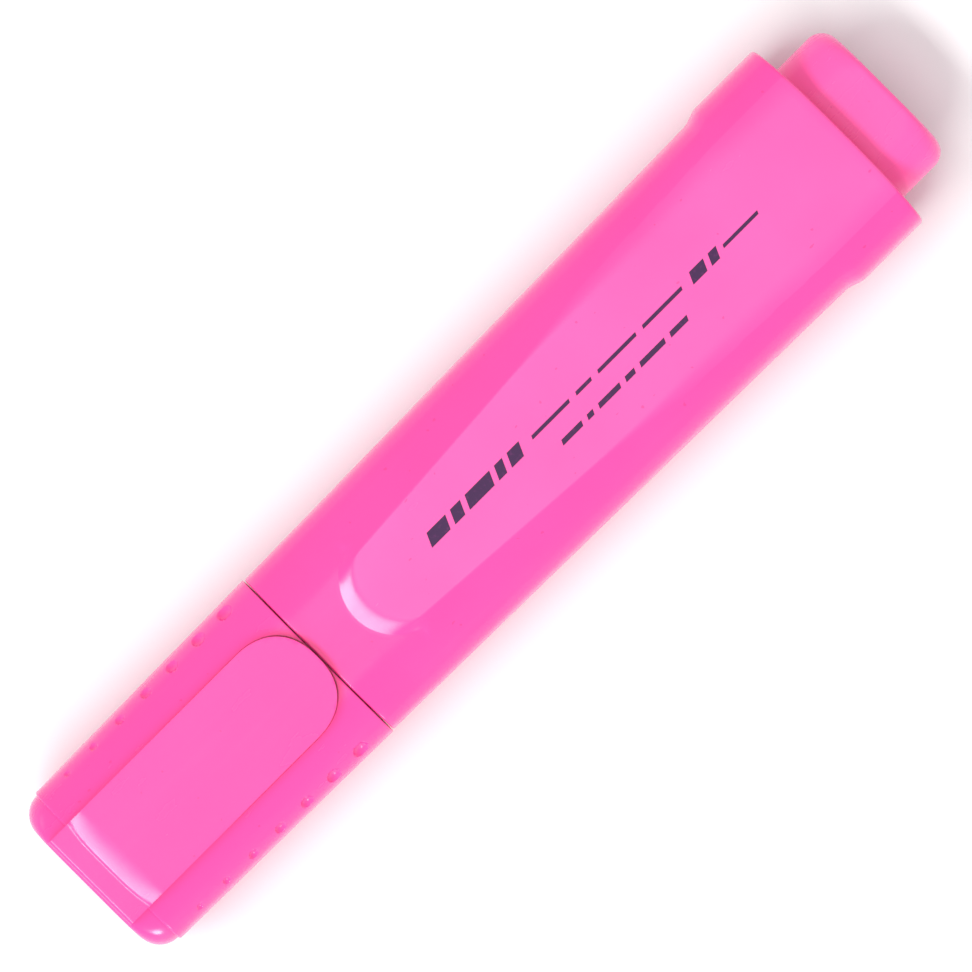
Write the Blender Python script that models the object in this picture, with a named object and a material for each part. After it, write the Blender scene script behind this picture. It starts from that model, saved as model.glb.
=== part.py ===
"""Flat capped highlighter: a pull-off cap with a sprung clip, a barrel with raised label panels, a felt
chisel nib in its holder, a film-wrapped fibre ink reservoir with a vent tube, and a tail plug.

The highlighter lies on its back: +X runs from the cap to the tail, +Z points up through the clip, and the
origin is under the middle of the length, on the surface it lies on.
Run: blender --background --python part.py
"""

import math

import bmesh
import bpy
from mathutils import Matrix, Vector

MM = 0.001

# ---- Overall ----
TOTAL_LENGTH = 120.0 * MM
BODY_WIDTH = 22.5 * MM  # barrel at the seam with the cap
BODY_THICKNESS = 14.6 * MM
CLEARANCE = 0.3 * MM  # between pieces that touch or slide
WALL = 1.4 * MM

# ---- Cross-section: flat top, sloping shoulders, rounded sides ----
SHOULDER_ANGLE = math.radians(26)
SHOULDER_REACH = 0.80  # share of the shoulder's width that stays near its slope
SIDE_FULLNESS = 0.62  # share of the height where the side turns vertical
SOFT_EDGE = 1.3 * MM  # rounding between a plain flat top and its shoulder
CRISP_EDGE = 0.1 * MM  # the same along the label panel's edge
OVAL_FLAT_SHARE = 0.9  # of an oval's width beyond its height, what stays flat

# ---- Cap ----
CAP_LENGTH = 34.5 * MM
CAP_PROUD = 0.11 * MM  # the cap stands this far outside the barrel all round
CAP_TAPER = 0.44 * MM  # each side draws in by this much towards the closed end
CAP_FLAT_HALF = 5.8 * MM
CAP_WALL_ABOVE = 1.8 * MM  # above and below the cavity, where the clip's recess is cut
CAP_END_WALL = 1.5 * MM
END_LENGTH = 2.9 * MM  # the closed end, set in by a small step
END_STEP = 0.28 * MM
END_CORNER = 2.7 * MM
END_EDGE = 0.6 * MM
SEAM_GAP = 0.35 * MM
SEAM_CHAMFER = 0.25 * MM

# ---- Clip ----
CLIP_WIDTH = 12.35 * MM
CLIP_THICKNESS = 1.2 * MM
CLIP_GAP = 1.0 * MM  # paper gap between the clip and the recess floor
CLIP_LIFT = 0.1 * MM  # the clip's underside above the cap's top at the mouth
CLIP_ROOT_LENGTH = 3.4 * MM
CLIP_RAMP_START = 2.8 * MM
CLIP_RAMP_END = 5.3 * MM
CLIP_RAMP_RISE = 0.6 * MM
CLIP_TIP_LENGTH = 6.3 * MM  # the free end's round stretch
CLIP_TIP_POWER = 2.35
CLIP_END_INSET = 0.3 * MM

# ---- Grip dimples on the cap's sides ----
DIMPLE_COUNT = 7
DIMPLE_PITCH = 3.98 * MM
DIMPLE_FIRST = 6.85 * MM  # from the closed end
DIMPLE_SMALLEST = 0.75 * MM
DIMPLE_LARGEST = 1.85 * MM
DIMPLE_DEPTH = 0.16  # share of its diameter
DIMPLE_INSET = 1.0 * MM  # from the cap's widest line

# ---- Barrel ----
BARREL_TAPER = 1.0 * MM  # each side spreads by this much from seam to flare
VALLEY_LENGTH = 5.3 * MM  # lower stretch between the seam and the label panel
PANEL_RISE = 0.65 * MM
RAMP_LENGTH = 2.06 * MM
RAMP_OUTER_RADIUS = 6.0 * MM
RAMP_INNER_RADIUS = 5.3 * MM
PANEL_FRONT_HALF = 4.4 * MM
PANEL_REAR_HALF = 8.6 * MM
FLARE_STEP = 0.6 * MM
FLARE_RAMP = 2.5 * MM
FLARE_LENGTH = 9.0 * MM
RIM_EDGE = 0.35 * MM
PLUG_SEAT_DEPTH = 9.5 * MM

# ---- Neck, which the cap slides over ----
NECK_WALL = 1.3 * MM
SNAP_BEAD = 0.12 * MM
SNAP_BEAD_WIDTH = 0.8 * MM
SNAP_BEAD_PLACE = 0.45  # share of the neck's length

# ---- Ribs inside the barrel ----
RIB_WIDTH = 0.9 * MM
RIB_SPREAD = 4.2 * MM
RIB_START = 5.0 * MM  # behind the barrel's front edge
RIB_SINK = 0.42 * MM  # the upper and lower ribs reach this far into the wall

# ---- Nib and its holder ----
NIB_WIDTH = 4.8 * MM
NIB_THICKNESS = 3.2 * MM
NIB_CORNER = 0.9 * MM
NIB_STANDOUT = 5.6 * MM
NIB_BEVEL = math.radians(62)  # of the writing edge, from the long axis
NIB_WEDGE = 2.2 * MM  # length of the thinned tip
NIB_EDGE_THICKNESS = 1.3 * MM
NIB_IN_CORE = 8.0 * MM
HOLDER_FLANGE = 1.0 * MM
HOLDER_CONE = 5.6 * MM
HOLDER_LAND = 4.6 * MM
HOLDER_LAND_RADIUS = 3.9 * MM
HOLDER_MOUTH = 1.2 * MM
HOLDER_MOUTH_RADIUS = 3.55 * MM
HOLDER_STEM_SHORT = 2.3 * MM  # the stem ends this far before the barrel's front edge
HOLDER_FOOT_INSET = 1.8 * MM

# ---- Inner cap, which seals on the holder ----
INNER_CAP_WALL = 0.7 * MM
INNER_CAP_BASE = 1.0 * MM
NIB_ROOM = 5.45 * MM  # between the inner cap's base and the nib's tip
INNER_CAP_OVERLAP = 3.2 * MM  # how far it reaches over the holder's land

# ---- Ink reservoir ----
CORE_WIDTH = 14.6 * MM
CORE_THICKNESS = 8.4 * MM
CORE_LENGTH = 62.0 * MM
CORE_SETBACK = 4.0 * MM  # behind the barrel's front edge
FILM_THICKNESS = 0.3 * MM
FILM_OVERHANG = 1.0 * MM
TUBE_DIAMETER = 1.5 * MM
TUBE_BORE = 0.8 * MM

# ---- Tail plug ----
PLUG_STANDOUT = 6.75 * MM
PLUG_FLANGE = 1.4 * MM
PLUG_SET_IN = 0.4 * MM  # the flange below the barrel's rim
PLUG_SKIRT = 6.0 * MM
PLUG_WALL = 1.2 * MM
PLUG_END_WALL = 1.8 * MM
PLUG_CORNER = 2.1 * MM
PLUG_EDGE = 0.6 * MM

# ---- Worked out from the above ----
CAP_END_X = -TOTAL_LENGTH / 2
CAP_MOUTH_X = CAP_END_X + CAP_LENGTH
FRONT_X = CAP_MOUTH_X + SEAM_GAP
RIM_X = TOTAL_LENGTH / 2 - PLUG_STANDOUT
FLARE_END_X = RIM_X - FLARE_LENGTH
FLARE_START_X = FLARE_END_X - FLARE_RAMP
RAMP_X = FRONT_X + VALLEY_LENGTH
NIB_TIP_X = CAP_END_X + CAP_END_WALL + CLEARANCE + INNER_CAP_BASE + NIB_ROOM
HOLDER_TIP_X = NIB_TIP_X + NIB_STANDOUT
MOUTH_X = HOLDER_TIP_X + HOLDER_MOUTH
LAND_X = MOUTH_X + HOLDER_LAND
FLANGE_X = LAND_X + HOLDER_CONE
NECK_FRONT_X = FLANGE_X + HOLDER_FLANGE + CLEARANCE
NECK_LENGTH = FRONT_X - NECK_FRONT_X  # what the cap leaves
STEM_END_X = FRONT_X - HOLDER_STEM_SHORT
CORE_X = FRONT_X + CORE_SETBACK
HALF_WIDTH = BODY_WIDTH / 2
HALF_FRONT = BODY_THICKNESS / 2
HALF_PANEL = HALF_FRONT + PANEL_RISE
LIFT = HALF_PANEL  # the long axis stands this high, so that the lower panel rests at zero
CAP_HALF_THICKNESS = HALF_FRONT + CAP_PROUD
CAP_HALF_WIDTH = HALF_WIDTH + CAP_PROUD
CLIP_UNDER_Z = CAP_HALF_THICKNESS + CLIP_LIFT
CLIP_TOP_Z = CLIP_UNDER_Z + CLIP_THICKNESS
RECESS_Z = CLIP_UNDER_Z - CLIP_GAP

FLAT_STEPS, EDGE_STEPS, SHOULDER_STEPS = 4, 2, 5
END_STEPS = 5  # rings round a closed end's corners
PAST = 1.2  # a cutter is this much larger than what it cuts through

PINK = (1.0, 0.13, 0.42)
FIBRE_PINK = (1.0, 0.12, 0.38)


# ---------------------------------------------------------------- helpers
def clear_scene():
    for obj in list(bpy.data.objects):
        bpy.data.objects.remove(obj, do_unlink=True)


def collection(name):
    made = bpy.data.collections.new(name)
    bpy.context.scene.collection.children.link(made)
    return made


def material(name, colour, roughness=0.4):
    made = bpy.data.materials.new(name)
    made.use_nodes = True
    shader = made.node_tree.nodes["Principled BSDF"]
    shader.inputs["Base Color"].default_value = (*colour, 1)
    shader.inputs["Roughness"].default_value = roughness
    return made


def add(name, mesh, home, finish=None):
    obj = bpy.data.objects.new(name, mesh)
    home.objects.link(obj)
    if finish:
        obj.data.materials.append(finish)
    return obj


def as_cutter(obj):
    obj.hide_render = True
    obj.display_type = "WIRE"
    return obj


def boolean(obj, other, operation):
    step = obj.modifiers.new(f"{operation.lower()} {other.name}", "BOOLEAN")
    step.operation = operation
    step.object = other
    return step


def smooth_between(a, b, t):
    t = min(1.0, max(0.0, t))
    return a + (b - a) * t * t * (3 - 2 * t)


def quarter(half_width, half_height, flat_half, angle, edge):
    """(y, z) from the top's middle round to the side: a flat, a rounded edge, then the shoulder."""
    slope = Vector((math.cos(angle), -math.sin(angle)))
    corner = Vector((flat_half, half_height))
    flat_end = corner - Vector((edge, 0))
    start = corner + slope * edge
    reach = (half_width - start.x) * SHOULDER_REACH
    handle = start + slope * (reach / math.cos(angle))
    turn = Vector((half_width, half_height * SIDE_FULLNESS))
    side = Vector((half_width, 0))
    points = [Vector((flat_end.x * i / FLAT_STEPS, half_height)) for i in range(FLAT_STEPS)]
    for i in range(EDGE_STEPS):
        t = i / EDGE_STEPS
        points.append(flat_end * (1 - t) ** 2 + corner * 2 * t * (1 - t) + start * t * t)
    for i in range(SHOULDER_STEPS + 1):
        t = i / SHOULDER_STEPS
        s = 1 - t
        points.append(start * s**3 + handle * 3 * s * s * t + turn * 3 * s * t * t + side * t**3)
    return points


def ring_of(points, x_of):
    """A closed ring from one quarter's points, mirrored in y and z, at x_of(y)."""
    right_top = [(p.x, p.y) for p in points]
    right = right_top + [(y, -z) for y, z in reversed(right_top[:-1])]
    left = [(-y, z) for y, z in reversed(right[1:-1])]
    return [(x_of(y), y, z + LIFT) for y, z in right + left]


def body_ring(x, half_width, half_height, flat_half, edge=SOFT_EDGE, angle=SHOULDER_ANGLE):
    return ring_of(quarter(half_width, half_height, flat_half, angle, edge), lambda y: x)


def oval_ring(x, half_width, half_height):
    """A rounded oval: a body section whose flat is what its own roundness leaves."""
    flat = max(half_width - half_height, 0) * OVAL_FLAT_SHARE
    steps = FLAT_STEPS + EDGE_STEPS
    points = [Vector((flat * i / steps, half_height)) for i in range(steps)]
    for i in range(SHOULDER_STEPS + 1):
        turn = math.pi / 2 * i / SHOULDER_STEPS
        points.append(Vector((flat + (half_width - flat) * math.sin(turn), half_height * math.cos(turn))))
    return ring_of(points, lambda y: x)


def skin(name, rings, home, finish, loop=False):
    """A closed shell through equal rings: with loop the last joins the first, else both are capped."""
    count = len(rings[0])
    build = bmesh.new()
    rows = [[build.verts.new(p) for p in ring] for ring in rings]
    pairs = list(zip(rows, rows[1:]))
    if loop:
        pairs.append((rows[-1], rows[0]))
    for first, second in pairs:
        for i in range(count):
            k = (i + 1) % count
            build.faces.new((first[i], first[k], second[k], second[i]))
    if not loop:
        build.faces.new(rows[0])
        build.faces.new(rows[-1])
    bmesh.ops.recalc_face_normals(build, faces=build.faces)
    mesh = bpy.data.meshes.new(name)
    build.to_mesh(mesh)
    build.free()
    mesh.shade_smooth()
    mesh.set_sharp_from_angle(angle=math.radians(25))
    return add(name, mesh, home, finish)


def flat_shape(name, outlines, depth, home, finish=None):
    """A filled 2D curve of closed outlines, drawn in millimetres, thickened by depth along its own Z."""
    curve = bpy.data.curves.new(name, "CURVE")
    curve.dimensions = "2D"
    curve.fill_mode = "BOTH"
    curve.extrude = depth / MM / 2
    for outline in outlines:
        spline = curve.splines.new("POLY")
        spline.points.add(len(outline) - 1)
        for point, (u, v) in zip(spline.points, outline):
            point.co = (u / MM, v / MM, 0, 1)
        spline.use_cyclic_u = True
    guide = bpy.data.objects.new(name + "_outline", curve)
    home.objects.link(guide)
    bpy.context.view_layer.update()
    mesh = bpy.data.meshes.new_from_object(guide.evaluated_get(bpy.context.evaluated_depsgraph_get()))
    bpy.data.objects.remove(guide)
    build = bmesh.new()
    build.from_mesh(mesh)
    bmesh.ops.remove_doubles(build, verts=build.verts, dist=0.001)
    bmesh.ops.recalc_face_normals(build, faces=build.faces)
    bmesh.ops.scale(build, verts=build.verts, vec=(MM, MM, MM))
    build.to_mesh(mesh)
    build.free()
    mesh.name = name
    return add(name, mesh, home, finish)


def stand_across(obj, x, z=LIFT):
    """Turns a flat shape drawn in (y, z) so that it faces along X, its middle at x and the height z."""
    obj.matrix_world = Matrix(((0, 0, 1, x), (1, 0, 0, 0), (0, 1, 0, z), (0, 0, 0, 1)))
    return obj


def stand_along(obj):
    """Turns a flat shape drawn in (x, z), heights from the long axis, so that it faces along Y."""
    obj.matrix_world = Matrix(((1, 0, 0, 0), (0, 0, -1, 0), (0, 1, 0, LIFT), (0, 0, 0, 1)))
    return obj


def stadium(half_width, half_height, steps=8):
    """Outline of a flat bar with fully round ends, in (y, z)."""
    middle = half_width - half_height
    points = []
    for side, start in ((1, -math.pi / 2), (-1, math.pi / 2)):
        for i in range(steps + 1):
            turn = start + math.pi * i / steps
            points.append((side * middle + half_height * math.cos(turn), half_height * math.sin(turn)))
    return points


# ---------------------------------------------------------------- shared widths
def along_barrel(x):
    """0 at the barrel's front edge, 1 where its flare starts."""
    return (x - FRONT_X) / (FLARE_START_X - FRONT_X)


def barrel_half_width(x):
    plain = HALF_WIDTH + BARREL_TAPER * min(1.0, along_barrel(x))
    return smooth_between(plain, plain + FLARE_STEP, (x - FLARE_START_X) / FLARE_RAMP)


def panel_half_width(x):
    share = (x - RAMP_X) / (FLARE_START_X - RAMP_X)
    return PANEL_FRONT_HALF + (PANEL_REAR_HALF - PANEL_FRONT_HALF) * min(1.0, share)


def cap_inward(x):
    """How far the cap's draft has drawn its sides in at x."""
    return CAP_TAPER * (CAP_MOUTH_X - x) / CAP_LENGTH


def cavity_half(x):
    """Half width and half height of the cap's cavity at x."""
    return (
        CAP_HALF_WIDTH - WALL - cap_inward(x),
        CAP_HALF_THICKNESS - CAP_WALL_ABOVE - cap_inward(x),
    )


def neck_half(x):
    wide, high = cavity_half(x)
    return wide - CLEARANCE, high - CLEARANCE


# ---------------------------------------------------------------- cap
def cap_ring(x, inset=0.0):
    drawn = cap_inward(x) + inset
    return body_ring(x, CAP_HALF_WIDTH - drawn, CAP_HALF_THICKNESS - drawn, CAP_FLAT_HALF)


def end_ring(x, corner_inset, edge_inset):
    """A ring of the closed end, drawn in sideways by its corners and in height by its edge."""
    drawn = cap_inward(x) + END_STEP
    return body_ring(
        x,
        CAP_HALF_WIDTH - drawn - corner_inset,
        CAP_HALF_THICKNESS - drawn - edge_inset,
        CAP_FLAT_HALF - corner_inset * 0.3,
    )


def closed_end_rings():
    """From the flat end face out to the step, with round corners and a round edge."""
    rings = []
    for i in range(END_STEPS + 1):
        turn = math.pi / 2 * i / END_STEPS
        x = CAP_END_X + END_CORNER * (1 - math.cos(turn))
        corner = END_CORNER * (1 - math.sin(turn))
        depth = max(0.0, 1 - (x - CAP_END_X) / END_EDGE)
        edge = END_EDGE * (1 - math.sqrt(1 - depth**2))
        rings.append(end_ring(x, corner, edge))
    return rings


def clip_outline(margin=0.0, tip_x=CAP_MOUTH_X, root_x=CAP_END_X + CLIP_END_INSET):
    """The clip in plan: straight sides and a full, rounded free end, grown by margin all round."""
    half = CLIP_WIDTH / 2 + margin
    base = tip_x - CLIP_TIP_LENGTH
    reach = CLIP_TIP_LENGTH + margin
    points = [(root_x - margin, half), (root_x - margin, -half)]
    steps = 14
    for i in range(steps + 1):
        turn = -math.pi / 2 + math.pi * i / steps
        across = abs(math.sin(turn)) ** (2 / CLIP_TIP_POWER) * math.copysign(1, math.sin(turn))
        along = abs(math.cos(turn)) ** (2 / CLIP_TIP_POWER)
        points.append((base + reach * along, half * across))
    return points


def dimple_frame(x):
    """Where a dimple sits on the cap's upper right shoulder at x, and the way it faces, in (y, z)."""
    drawn = cap_inward(x)
    target = CAP_HALF_WIDTH - drawn - DIMPLE_INSET
    points = quarter(
        CAP_HALF_WIDTH - drawn, CAP_HALF_THICKNESS - drawn, CAP_FLAT_HALF, SHOULDER_ANGLE, SOFT_EDGE
    )
    for low, high in zip(points, points[1:]):
        if low.x <= target <= high.x:
            share = (target - low.x) / (high.x - low.x)
            along = (high - low).normalized()
            return low.lerp(high, share), Vector((-along.y, along.x))
    return points[-1], Vector((1, 0))


def dimple_cutters(home):
    """One mesh of shallow cones, in a row of growing size along each of the cap's four rounded shoulders."""
    build = bmesh.new()
    for i in range(DIMPLE_COUNT):
        x = CAP_END_X + DIMPLE_FIRST + DIMPLE_PITCH * i
        size = DIMPLE_SMALLEST + (DIMPLE_LARGEST - DIMPLE_SMALLEST) * i / (DIMPLE_COUNT - 1)
        depth = size * DIMPLE_DEPTH
        place, facing = dimple_frame(x)
        for side in (1, -1):
            for face in (1, -1):
                out = Vector((0, facing.x * side, facing.y * face))
                at = Vector((x, place.x * side, place.y * face + LIFT))
                # the cone's middle, where it meets the surface, has the dimple's own radius
                made = bmesh.ops.create_cone(
                    build,
                    cap_ends=True,
                    segments=8,
                    radius1=size * 0.25,
                    radius2=size * 0.75,
                    depth=depth * 2,
                )
                turn = out.to_track_quat("Z", "Y").to_matrix()
                bmesh.ops.rotate(build, verts=made["verts"], cent=(0, 0, 0), matrix=turn)
                bmesh.ops.translate(build, verts=made["verts"], vec=at)
    mesh = bpy.data.meshes.new("dimple_cutters")
    build.to_mesh(mesh)
    build.free()
    return as_cutter(add("dimple_cutters", mesh, home))


def make_cap(parts, cutters):
    step_x = CAP_END_X + END_LENGTH
    outer = closed_end_rings()
    outer += [end_ring(step_x, 0, 0), cap_ring(step_x)]
    outer += [cap_ring(CAP_MOUTH_X - SEAM_CHAMFER), cap_ring(CAP_MOUTH_X, SEAM_CHAMFER)]
    inner_end = CAP_END_X + CAP_END_WALL
    inner = [oval_ring(x, *cavity_half(x)) for x in (CAP_MOUTH_X, inner_end)]
    cap = skin("cap_shell", outer + inner, parts, material("cap_pink", PINK))
    top = CAP_HALF_THICKNESS * 2
    recess = flat_shape(
        "clip_recess",
        [clip_outline(CLEARANCE, root_x=CAP_END_X - CLEARANCE)],
        top - RECESS_Z,
        cutters,
    )
    recess.location.z = LIFT + (top + RECESS_Z) / 2
    boolean(cap, as_cutter(recess), "DIFFERENCE")
    boolean(cap, dimple_cutters(cutters), "DIFFERENCE")
    return cap


def make_clip(parts, cutters):
    """The clip's plan outline, cut to its side profile: root, ramp and plate."""
    root_x = CAP_END_X + CLIP_END_INSET
    finish = material("clip_pink", PINK)
    clip = flat_shape("cap_clip", [clip_outline()], CAP_HALF_THICKNESS * 2, parts, finish)
    clip.location.z = LIFT + CAP_HALF_THICKNESS
    past = CLIP_WIDTH
    low = RECESS_Z + CLEARANCE
    root_top = CLIP_TOP_Z - CLIP_RAMP_RISE
    profile = [
        (root_x - past, low),
        (CAP_END_X + CLIP_ROOT_LENGTH, low),
        (CAP_END_X + CLIP_ROOT_LENGTH + CLIP_UNDER_Z - low, CLIP_UNDER_Z),
        (CAP_MOUTH_X + past, CLIP_UNDER_Z),
        (CAP_MOUTH_X + past, CLIP_TOP_Z),
        (CAP_END_X + CLIP_RAMP_END, CLIP_TOP_Z),
        (CAP_END_X + CLIP_RAMP_START, root_top),
        (root_x - past, root_top),
    ]
    side = flat_shape("clip_profile", [profile], CLIP_WIDTH * 2, cutters)
    stand_along(side)
    boolean(clip, as_cutter(side), "INTERSECT")
    return clip


def make_inner_cap(parts):
    """An oval base plate that fills the cap's end, with a round sleeve that closes over the holder."""
    base_x = CAP_END_X + CAP_END_WALL + CLEARANCE
    sleeve_x = base_x + INNER_CAP_BASE
    mouth_x = MOUTH_X + INNER_CAP_OVERLAP
    inner = HOLDER_LAND_RADIUS + CLEARANCE
    outer = inner + INNER_CAP_WALL
    wide, high = cavity_half(base_x)
    rings = [
        oval_ring(base_x, wide - CLEARANCE, high - CLEARANCE),
        oval_ring(sleeve_x, wide - CLEARANCE, high - CLEARANCE),
        oval_ring(sleeve_x, outer, outer),
        oval_ring(mouth_x, outer, outer),
        oval_ring(mouth_x, inner, inner),
        oval_ring(sleeve_x, inner, inner),
    ]
    return skin("inner_cap", rings, parts, material("inner_cap_white", (0.85, 0.85, 0.83), 0.5))


# ---------------------------------------------------------------- barrel
def ramp_ring(crest_x, radius, half_height, flat_half):
    """A ring bent into an arc across the flat top, which is how the label panel begins."""

    def bent(y):
        across = min(abs(y), flat_half)
        return crest_x + radius - math.sqrt(radius**2 - across**2)

    points = quarter(barrel_half_width(crest_x), half_height, flat_half, SHOULDER_ANGLE, CRISP_EDGE)
    return ring_of(points, bent)


def panel_ring(x):
    late = smooth_between(0, 1, (x - RAMP_X) / (FLARE_START_X - RAMP_X) * 2 - 1)
    edge = CRISP_EDGE + (SOFT_EDGE - CRISP_EDGE) * late
    return body_ring(x, barrel_half_width(x), HALF_PANEL, panel_half_width(x), edge)


def neck_rings():
    """From the neck's front face back to the shoulder, with a snap bead for the cap."""
    bead = NECK_FRONT_X + NECK_LENGTH * SNAP_BEAD_PLACE
    rings = [oval_ring(NECK_FRONT_X, *(h - SEAM_CHAMFER for h in neck_half(NECK_FRONT_X)))]
    rings.append(oval_ring(NECK_FRONT_X + SEAM_CHAMFER, *neck_half(NECK_FRONT_X)))
    for share, proud in ((-0.5, 0), (0, SNAP_BEAD), (0.5, 0)):
        x = bead + share * SNAP_BEAD_WIDTH
        rings.append(oval_ring(x, *(h + proud for h in neck_half(x))))
    rings.append(oval_ring(FRONT_X, *neck_half(FRONT_X)))
    return rings


def valley_flat_half():
    """Where the shoulder of the label panel's section reaches the valley's lower height."""
    return PANEL_FRONT_HALF + PANEL_RISE / math.tan(SHOULDER_ANGLE)


def seat_half(x=RIM_X):
    """Half width and half height of the opening that takes the tail plug."""
    return barrel_half_width(x) - WALL, HALF_PANEL - WALL


def cavity_in_barrel(x):
    share = min(1.0, max(0.0, along_barrel(x)))
    return barrel_half_width(x) - WALL, HALF_FRONT - WALL + (HALF_PANEL - HALF_FRONT) * share


def make_barrel(parts, cutters):
    flat = valley_flat_half()
    outer = neck_rings()
    front = (HALF_WIDTH, HALF_FRONT, flat)
    outer.append(body_ring(FRONT_X, *(h - SEAM_CHAMFER for h in front)))
    outer.append(body_ring(FRONT_X + SEAM_CHAMFER, *front))
    valley_x = FRONT_X + VALLEY_LENGTH / 2
    outer.append(body_ring(valley_x, barrel_half_width(valley_x), HALF_FRONT, flat))
    outer.append(ramp_ring(RAMP_X, RAMP_OUTER_RADIUS, HALF_FRONT, flat))
    outer.append(ramp_ring(RAMP_X + RAMP_LENGTH, RAMP_INNER_RADIUS, HALF_PANEL, PANEL_FRONT_HALF))
    panel_start = RAMP_X + RAMP_LENGTH + RAMP_INNER_RADIUS
    stations = 5
    for i in range(stations + 1):
        outer.append(panel_ring(panel_start + (FLARE_START_X - panel_start) * i / stations))
    for share in (0.25, 0.5, 0.75, 1):
        outer.append(panel_ring(FLARE_START_X + FLARE_RAMP * share))
    rim = (barrel_half_width(RIM_X), HALF_PANEL, PANEL_REAR_HALF)
    outer.append(body_ring(RIM_X - RIM_EDGE, *rim))
    outer.append(body_ring(RIM_X, *(h - RIM_EDGE for h in rim)))
    seat_x = RIM_X - PLUG_SEAT_DEPTH
    narrow = [h - NECK_WALL for h in neck_half(NECK_FRONT_X)]
    inner = [
        oval_ring(RIM_X, *seat_half()),
        oval_ring(seat_x, *seat_half()),
        oval_ring(seat_x - WALL, *cavity_in_barrel(seat_x - WALL)),
        oval_ring(FRONT_X + WALL, *cavity_in_barrel(FRONT_X + WALL)),
        oval_ring(FRONT_X, *narrow),
        oval_ring(NECK_FRONT_X, *narrow),
    ]
    barrel = skin("barrel", outer + inner, parts, material("barrel_pink", PINK), loop=True)
    boolean(barrel, make_ribs(cutters), "UNION")
    return barrel


def film_half():
    """Half width and half height of the wrapped reservoir."""
    grown = CLEARANCE + FILM_THICKNESS
    return CORE_WIDTH / 2 + grown, CORE_THICKNESS / 2 + grown


def make_ribs(cutters):
    """Six ribs along the barrel's inside, which centre the reservoir."""
    start, end = FRONT_X + RIB_START, CORE_X + CORE_LENGTH
    wide, high = film_half()
    build = bmesh.new()
    wall_wide, wall_high = cavity_in_barrel(end)
    for side in (1, -1):
        for face in (1, -1):
            low, top = high + CLEARANCE, wall_high
            middle = (low + top) / 2 * face + RIB_SINK * face
            add_rib(build, start, end, RIB_SPREAD * side, RIB_WIDTH, middle, top - low)
        low, top = wide + CLEARANCE, wall_wide
        add_rib(build, start, end, (low + top) / 2 * side, top - low, 0, RIB_WIDTH)
    mesh = bpy.data.meshes.new("ribs")
    build.to_mesh(mesh)
    build.free()
    return as_cutter(add("ribs", mesh, cutters))


def add_rib(build, start, end, y, width, z, height):
    made = bmesh.ops.create_cube(build, size=1)
    bmesh.ops.scale(build, verts=made["verts"], vec=(end - start, width, height))
    bmesh.ops.translate(build, verts=made["verts"], vec=((start + end) / 2, y, z + LIFT))


# ---------------------------------------------------------------- nib, holder, reservoir, plug
def make_holder(parts, cutters):
    """Stem inside the neck, flange against it, a cone down to the round land, and the nib's mouth."""
    stem = [h - NECK_WALL - CLEARANCE for h in neck_half(NECK_FRONT_X)]
    flange = [h - SEAM_CHAMFER for h in neck_half(FLANGE_X)]
    foot = [h - HOLDER_FOOT_INSET for h in flange]
    rings = [
        oval_ring(STEM_END_X, *stem),
        oval_ring(NECK_FRONT_X - CLEARANCE, *stem),
        oval_ring(NECK_FRONT_X - CLEARANCE, *flange),
        oval_ring(FLANGE_X, *flange),
        oval_ring(FLANGE_X, foot[0], max(foot[1], HOLDER_LAND_RADIUS)),
        oval_ring(LAND_X, HOLDER_LAND_RADIUS, HOLDER_LAND_RADIUS),
        oval_ring(MOUTH_X, HOLDER_LAND_RADIUS, HOLDER_LAND_RADIUS),
        oval_ring(HOLDER_TIP_X, HOLDER_MOUTH_RADIUS, HOLDER_MOUTH_RADIUS),
    ]
    holder = skin("nib_holder", rings, parts, material("holder_pink", PINK))
    length = STEM_END_X - HOLDER_TIP_X
    slot = flat_shape("nib_slot", [nib_section(CLEARANCE)], length * PAST, cutters)
    stand_across(slot, HOLDER_TIP_X + length / 2)
    boolean(holder, as_cutter(slot), "DIFFERENCE")
    return holder


def nib_section(margin=0.0):
    """The nib's rounded-rectangle section in (y, z)."""
    half_wide, half_high = NIB_WIDTH / 2 + margin, NIB_THICKNESS / 2 + margin
    radius = NIB_CORNER + margin
    points = []
    steps = 3
    for quarter_turn, (sy, sz) in enumerate(((1, 1), (-1, 1), (-1, -1), (1, -1))):
        for i in range(steps + 1):
            turn = math.pi / 2 * (quarter_turn + i / steps)
            points.append(
                (
                    sy * (half_wide - radius) + radius * math.cos(turn),
                    sz * (half_high - radius) + radius * math.sin(turn),
                )
            )
    return points


def make_nib(parts, cutters):
    """A felt bar, thinned to a wedge at its tip and cut on a slant to a chisel edge."""
    tip, tail = NIB_TIP_X, CORE_X + NIB_IN_CORE
    nib = flat_shape("nib", [nib_section()], tail - tip, parts, material("nib_felt", FIBRE_PINK, 0.9))
    stand_across(nib, (tip + tail) / 2)
    high, edge = NIB_THICKNESS / 2 * PAST, NIB_EDGE_THICKNESS / 2
    profile = [
        (tip - MM, -edge),
        (tip, -edge),
        (tip + NIB_WEDGE, -high),
        (tail + MM, -high),
        (tail + MM, high),
        (tip + NIB_WEDGE, high),
        (tip, edge),
        (tip - MM, edge),
    ]
    wedge = flat_shape("nib_wedge", [profile], NIB_WIDTH * 2, cutters)
    stand_along(wedge)
    boolean(nib, as_cutter(wedge), "INTERSECT")
    slant = NIB_WIDTH * PAST / math.tan(NIB_BEVEL)
    half = NIB_WIDTH / 2 * PAST
    corner = [(tip - MM, half), (tip - MM, -half), (tip, -half), (tip + slant, half)]
    bevel = flat_shape("nib_bevel", [corner], NIB_THICKNESS * 2, cutters)
    bevel.location.z = LIFT
    boolean(nib, as_cutter(bevel), "DIFFERENCE")
    return nib


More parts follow.
